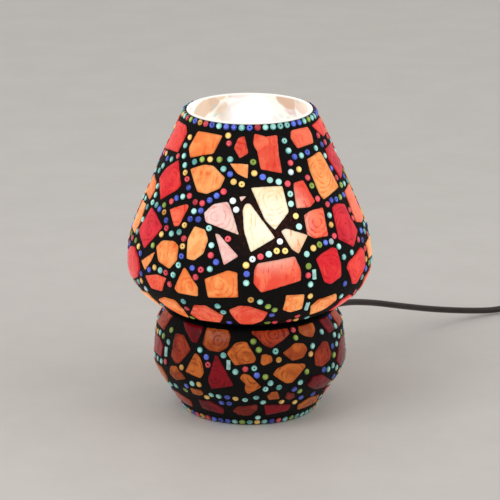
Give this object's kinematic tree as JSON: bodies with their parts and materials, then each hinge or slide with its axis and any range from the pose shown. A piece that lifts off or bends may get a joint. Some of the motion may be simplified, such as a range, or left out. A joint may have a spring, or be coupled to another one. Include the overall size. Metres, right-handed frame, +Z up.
{
  "type": "mosaic glass table lamp",
  "caption": "Mushroom-shaped table lamp of blown glass covered in coloured glass shards and beads set in black cement, with a small bulb and a switched cord.",
  "frame": {"origin": "centre of the foot on the surface that the lamp stands on", "axes": "+Z up along the lamp's axis, -Y the front, +Y the side where the cord leaves"},
  "size_m": [0.3857, 0.278, 0.1912],
  "materials": {
    "bead_amber": "glossy amber glass bead",
    "bead_aqua": "pale aqua glass tube bead",
    "bead_blue": "glossy cobalt glass bead",
    "bead_green": "glossy olive green glass bead",
    "bead_red": "glossy red glass bead",
    "bead_turquoise": "glossy turquoise glass bead",
    "bead_white": "milky white glass bead",
    "black_bakelite": "black phenolic moulding",
    "black_cement": "matt black cement with a slight grain",
    "black_glass": "fused black glass insulator",
    "black_rubber": "black rubber grommet",
    "bracket_steel": "zinc plated pressed steel",
    "cap_nickel": "rolled nickel plated brass",
    "clear_glass": "clear blown glass, softly frosted inside",
    "clear_silicone": "milky silicone",
    "cord_pvc": "dark brown PVC sheath, slightly glossy",
    "frosted_bulb_glass": "frosted bulb glass, lit",
    "glass_amber": "pressed amber glass, lit from behind",
    "glass_coral": "pressed coral glass, lit from behind",
    "glass_cream": "cream pressed glass, lit from behind",
    "glass_crimson": "pressed crimson glass, lit from behind",
    "glass_orange": "pressed orange glass, lit from behind",
    "glass_pink": "pale pink pressed glass, lit from behind",
    "glass_red": "pressed red glass, lit from behind",
    "hot_filament": "coiled tungsten, glowing",
    "pin_nickel": "nickel plated brass pin",
    "plug_pvc": "dark brown moulded PVC",
    "rocker_plastic": "dark brown rocker",
    "screw_steel": "zinc plated steel",
    "sleeve_plastic": "black insulating sleeve",
    "solder_tin": "soft solder",
    "stem_glass": "clear lead glass",
    "support_wire": "nickel wire",
    "switch_plastic": "dark brown moulded case",
    "terminal_brass": "stamped brass",
    "tie_plastic": "black releasable strap",
    "white_ceramic": "unglazed white porcelain",
    "wire_insulation": "brown PVC wire insulation"
  },
  "bodies": {
    "lamp": {"base_beads_amber": "bead_amber", "base_beads_blue": "bead_blue", "base_beads_green": "bead_green", "base_beads_red": "bead_red", "base_beads_turquoise": "bead_turquoise", "base_grout": "black_cement", "base_tiles_coral": "glass_coral", "base_tiles_crimson": "glass_crimson", "base_tiles_orange": "glass_orange", "bracket_pads": "clear_silicone", "centre_contact": "terminal_brass", "clamp_rings": "black_bakelite", "coil_tie": "tie_plastic", "cord_coil": "cord_pvc", "cord_end": "cord_pvc", "cord_grommet": "black_rubber", "cord_lead": "cord_pvc", "cord_tail": "cord_pvc", "glass_body": "clear_glass", "holder_bracket": "bracket_steel", "holder_cap": "black_bakelite", "holder_sleeve": "black_bakelite", "holder_wires": "wire_insulation", "inner_cord": "cord_pvc", "plug_body": "plug_pvc", "plug_pin_sleeves": "sleeve_plastic", "plug_pins": "pin_nickel", "rocker_pin": "screw_steel", "screw_shell": "terminal_brass", "shade_beads_amber": "bead_amber", "shade_beads_blue": "bead_blue", "shade_beads_green": "bead_green", "shade_beads_red": "bead_red", "shade_beads_turquoise": "bead_turquoise", "shade_beads_white": "bead_white", "shade_grout": "black_cement", "shade_tiles_amber": "glass_amber", "shade_tiles_coral": "glass_coral", "shade_tiles_cream": "glass_cream", "shade_tiles_crimson": "glass_crimson", "shade_tiles_orange": "glass_orange", "shade_tiles_pink": "glass_pink", "shade_tiles_red": "glass_red", "strain_relief": "cord_pvc", "switch_case_screws": "screw_steel", "switch_contacts": "terminal_brass", "switch_lower_case": "switch_plastic", "switch_terminal_screws": "terminal_brass", "switch_upper_case": "switch_plastic", "terminal_block": "white_ceramic", "terminal_screws": "terminal_brass", "tube_beads": "bead_aqua"},
    "bulb": {"bulb_cap": "cap_nickel", "bulb_insulator": "black_glass", "bulb_contact": "solder_tin", "bulb_envelope": "frosted_bulb_glass", "bulb_stem": "stem_glass", "filament_supports": "support_wire", "filament": "hot_filament"},
    "rocker": {"switch_rocker": "rocker_plastic"}
  },
  "joints": [
    {"name": "bulb_lift", "type": "slide", "parent": "lamp", "child": "bulb", "axis": [0, 0, 1], "range_m": [0, 0.125]},
    {"name": "rocker_tilt", "type": "hinge", "parent": "lamp", "child": "rocker", "pos_m": [0.229, 0.19, 0.0126], "axis": [0, 1, 0], "range_deg": [-24, 0]}
  ]
}
